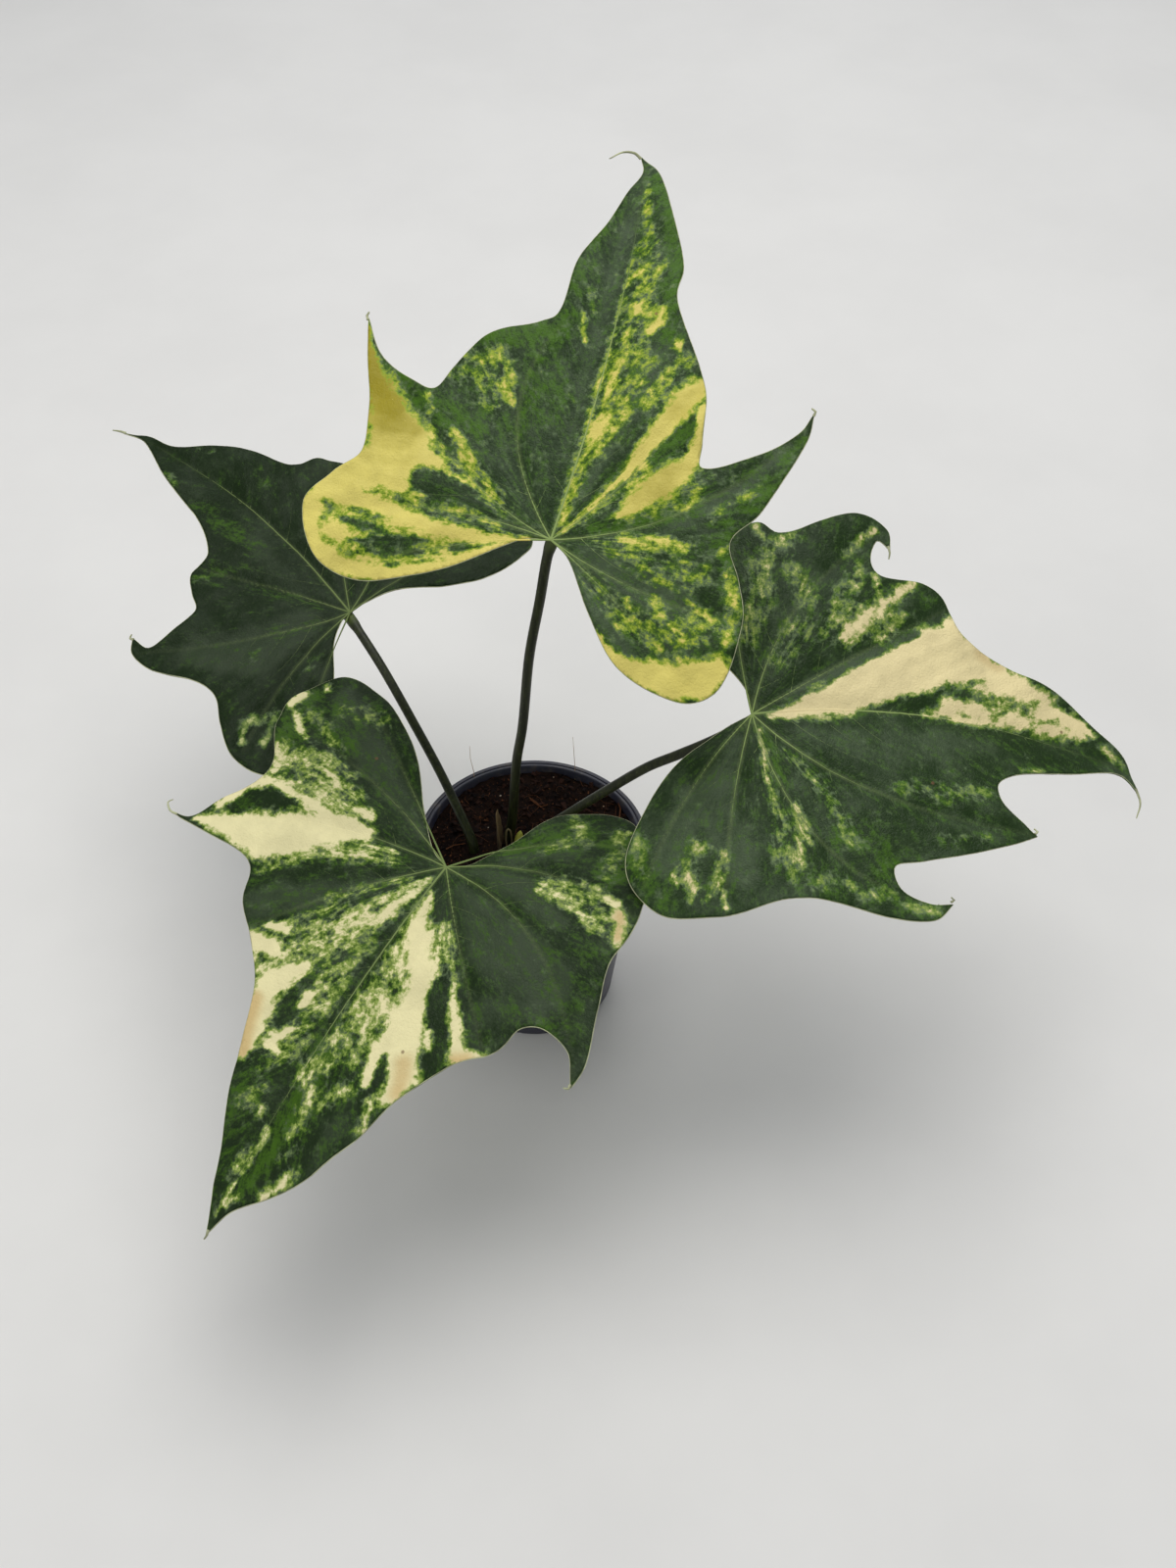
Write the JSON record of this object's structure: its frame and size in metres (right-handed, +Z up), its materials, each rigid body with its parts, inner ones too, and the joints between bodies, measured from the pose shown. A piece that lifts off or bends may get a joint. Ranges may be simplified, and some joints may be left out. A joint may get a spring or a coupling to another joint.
{
  "type": "potted anthurium",
  "caption": "Young potted anthurium with large ivy-shaped variegated leaves on long stalks, in a round tapered nursery pot.",
  "frame": {"origin": "centre of the flat underside of the pot, on the surface that the pot stands on", "axes": "+Z up, +X to the right and +Y away from someone who faces the plant as pictured"},
  "size_m": [0.5239, 0.452, 0.4004],
  "materials": {
    "leaf": "satin",
    "stalk": "satin",
    "stem": "rough",
    "shoot": "satin",
    "sheath": "papery",
    "soil": "rough",
    "pot": "matte"
  },
  "bodies": {
    "root": {"pot": "pot", "soil": "soil", "short_stem": "stem", "new_shoot": "shoot", "old_sheath": "sheath", "stalk_top": "stalk", "stalk_right": "stalk", "stalk_front": "stalk", "stalk_back": "stalk", "leaf_top": "leaf", "leaf_right": "leaf", "leaf_front": "leaf", "leaf_back": "leaf"}
  },
  "joints": []
}
